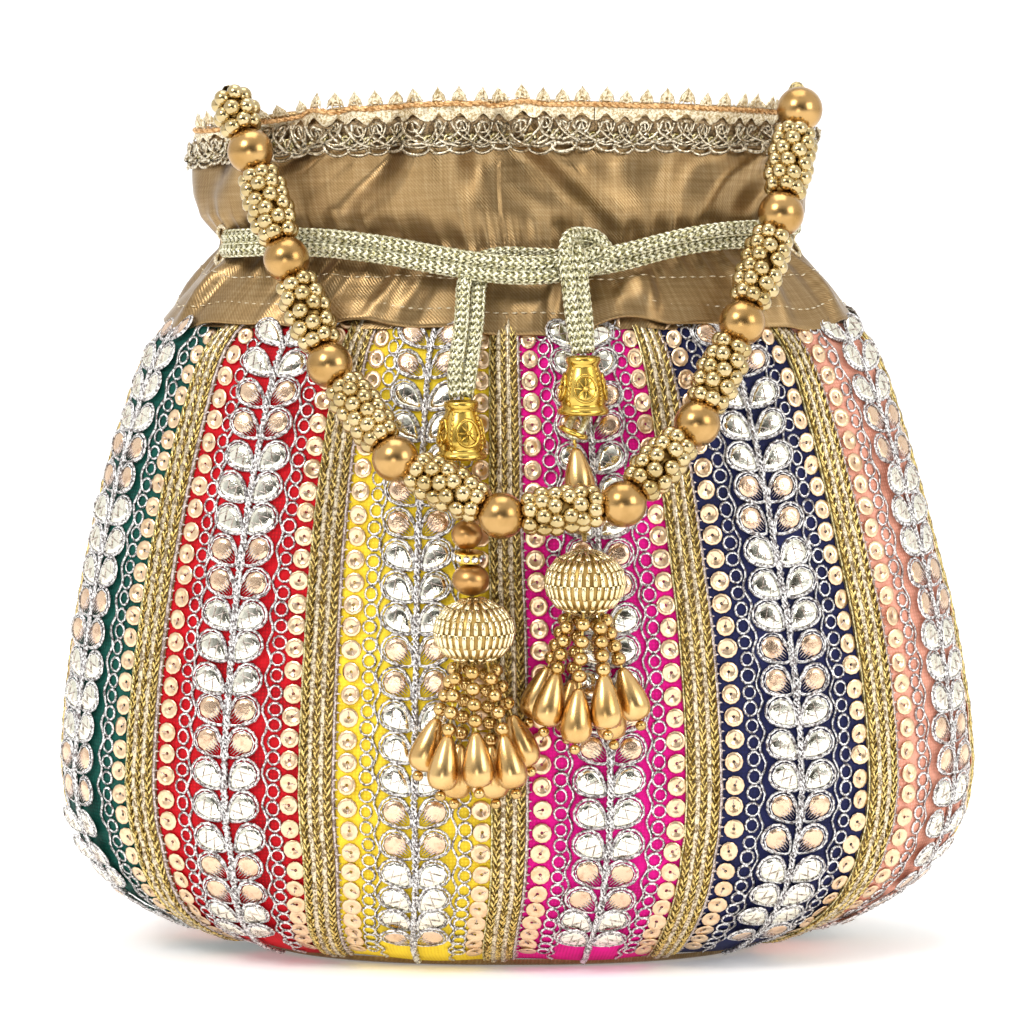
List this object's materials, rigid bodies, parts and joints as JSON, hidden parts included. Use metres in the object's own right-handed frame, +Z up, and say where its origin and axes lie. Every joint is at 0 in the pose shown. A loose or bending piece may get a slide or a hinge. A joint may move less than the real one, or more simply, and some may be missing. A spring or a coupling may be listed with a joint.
{
  "type": "potli bag",
  "caption": "Soft striped drawstring pouch on an oval base, with a satin collar and lace rim, beaded tassels and a beaded wrist handle.",
  "frame": {"origin": "middle of the flat base on the surface it stands on", "axes": "+Z up through the mouth, -Y towards the front with the knot and tassels, +X to the right of the front"},
  "size_m": [0.2464, 0.1427, 0.2329],
  "materials": {
    "embroidered_silk": "striped art silk under metallic embroidery",
    "lining_satin": "woven satin",
    "collar_satin": "slubbed satin with a soft sheen",
    "stiff_board": "pressed board",
    "metallic_lace": "lace of silver and gold thread",
    "zari_cord": "knitted metallic thread",
    "gold_plated_cap": "bright gold plating",
    "gold_plated_ring": "bright gold plating",
    "sewing_thread": "twisted thread",
    "crystal_rondelle": "rhinestones set in bright metal",
    "bugle_beads": "metallised tube beads",
    "small_gold_beads": "metallised satin gold",
    "matte_gold_beads": "matte metallised gold"
  },
  "bodies": {
    "bag": {"base_board": "stiff_board", "base_panel": "collar_satin", "collar": "collar_satin", "cord_cap_left": "gold_plated_cap", "cord_cap_right": "gold_plated_cap", "drawcord_knot": "zari_cord", "drawcord_left": "zari_cord", "drawcord_right": "zari_cord", "drawcord_tail_left": "zari_cord", "drawcord_tail_right": "zari_cord", "handle_loop_left": "sewing_thread", "handle_loop_right": "sewing_thread", "lace_trim": "metallic_lace", "lining": "lining_satin", "outer_body": "embroidered_silk", "right_jump_ring": "gold_plated_ring"},
    "handle": {"handle_ball_1": "matte_gold_beads", "handle_ball_10": "matte_gold_beads", "handle_ball_2": "matte_gold_beads", "handle_ball_3": "matte_gold_beads", "handle_ball_4": "matte_gold_beads", "handle_ball_5": "matte_gold_beads", "handle_ball_6": "matte_gold_beads", "handle_ball_7": "matte_gold_beads", "handle_ball_8": "matte_gold_beads", "handle_ball_9": "matte_gold_beads", "handle_cluster_1": "small_gold_beads", "handle_cluster_2": "small_gold_beads", "handle_cluster_3": "small_gold_beads", "handle_cluster_4": "small_gold_beads", "handle_cluster_5": "small_gold_beads", "handle_cluster_6": "small_gold_beads", "handle_cluster_7": "small_gold_beads", "handle_cluster_8": "small_gold_beads", "handle_cluster_9": "small_gold_beads", "handle_cluster_top": "small_gold_beads"},
    "left_tassel": {"left_ball_lower": "matte_gold_beads", "left_ball_upper": "matte_gold_beads", "left_bugle_ball": "bugle_beads", "left_crystal_ring": "crystal_rondelle", "strand_left_1": "matte_gold_beads", "strand_left_2": "matte_gold_beads", "strand_left_3": "matte_gold_beads", "strand_left_4": "matte_gold_beads", "strand_left_5": "matte_gold_beads", "strand_left_6": "matte_gold_beads", "strand_left_7": "matte_gold_beads"},
    "right_tassel": {"right_bugle_ball": "bugle_beads", "right_drop_bead": "matte_gold_beads", "strand_right_1": "matte_gold_beads", "strand_right_2": "matte_gold_beads", "strand_right_3": "matte_gold_beads", "strand_right_4": "matte_gold_beads", "strand_right_5": "matte_gold_beads", "strand_right_6": "matte_gold_beads", "strand_right_7": "matte_gold_beads"}
  },
  "joints": [
    {"name": "handle_swing", "type": "hinge", "parent": "bag", "child": "handle", "pos_m": [-0.0005, -0.02625, 0.23075], "axis": [-0.997, -0.0769, 0.0033], "range_deg": [0, 130]},
    {"name": "left_tassel_swing", "type": "hinge", "parent": "bag", "child": "left_tassel", "pos_m": [-0.0142, -0.0602, 0.137], "axis": [0, 1, 0], "range_deg": [0, 25]},
    {"name": "right_tassel_swing", "type": "hinge", "parent": "bag", "child": "right_tassel", "pos_m": [0.0146, -0.0602, 0.1415], "axis": [0, -1, 0], "range_deg": [0, 18]}
  ]
}
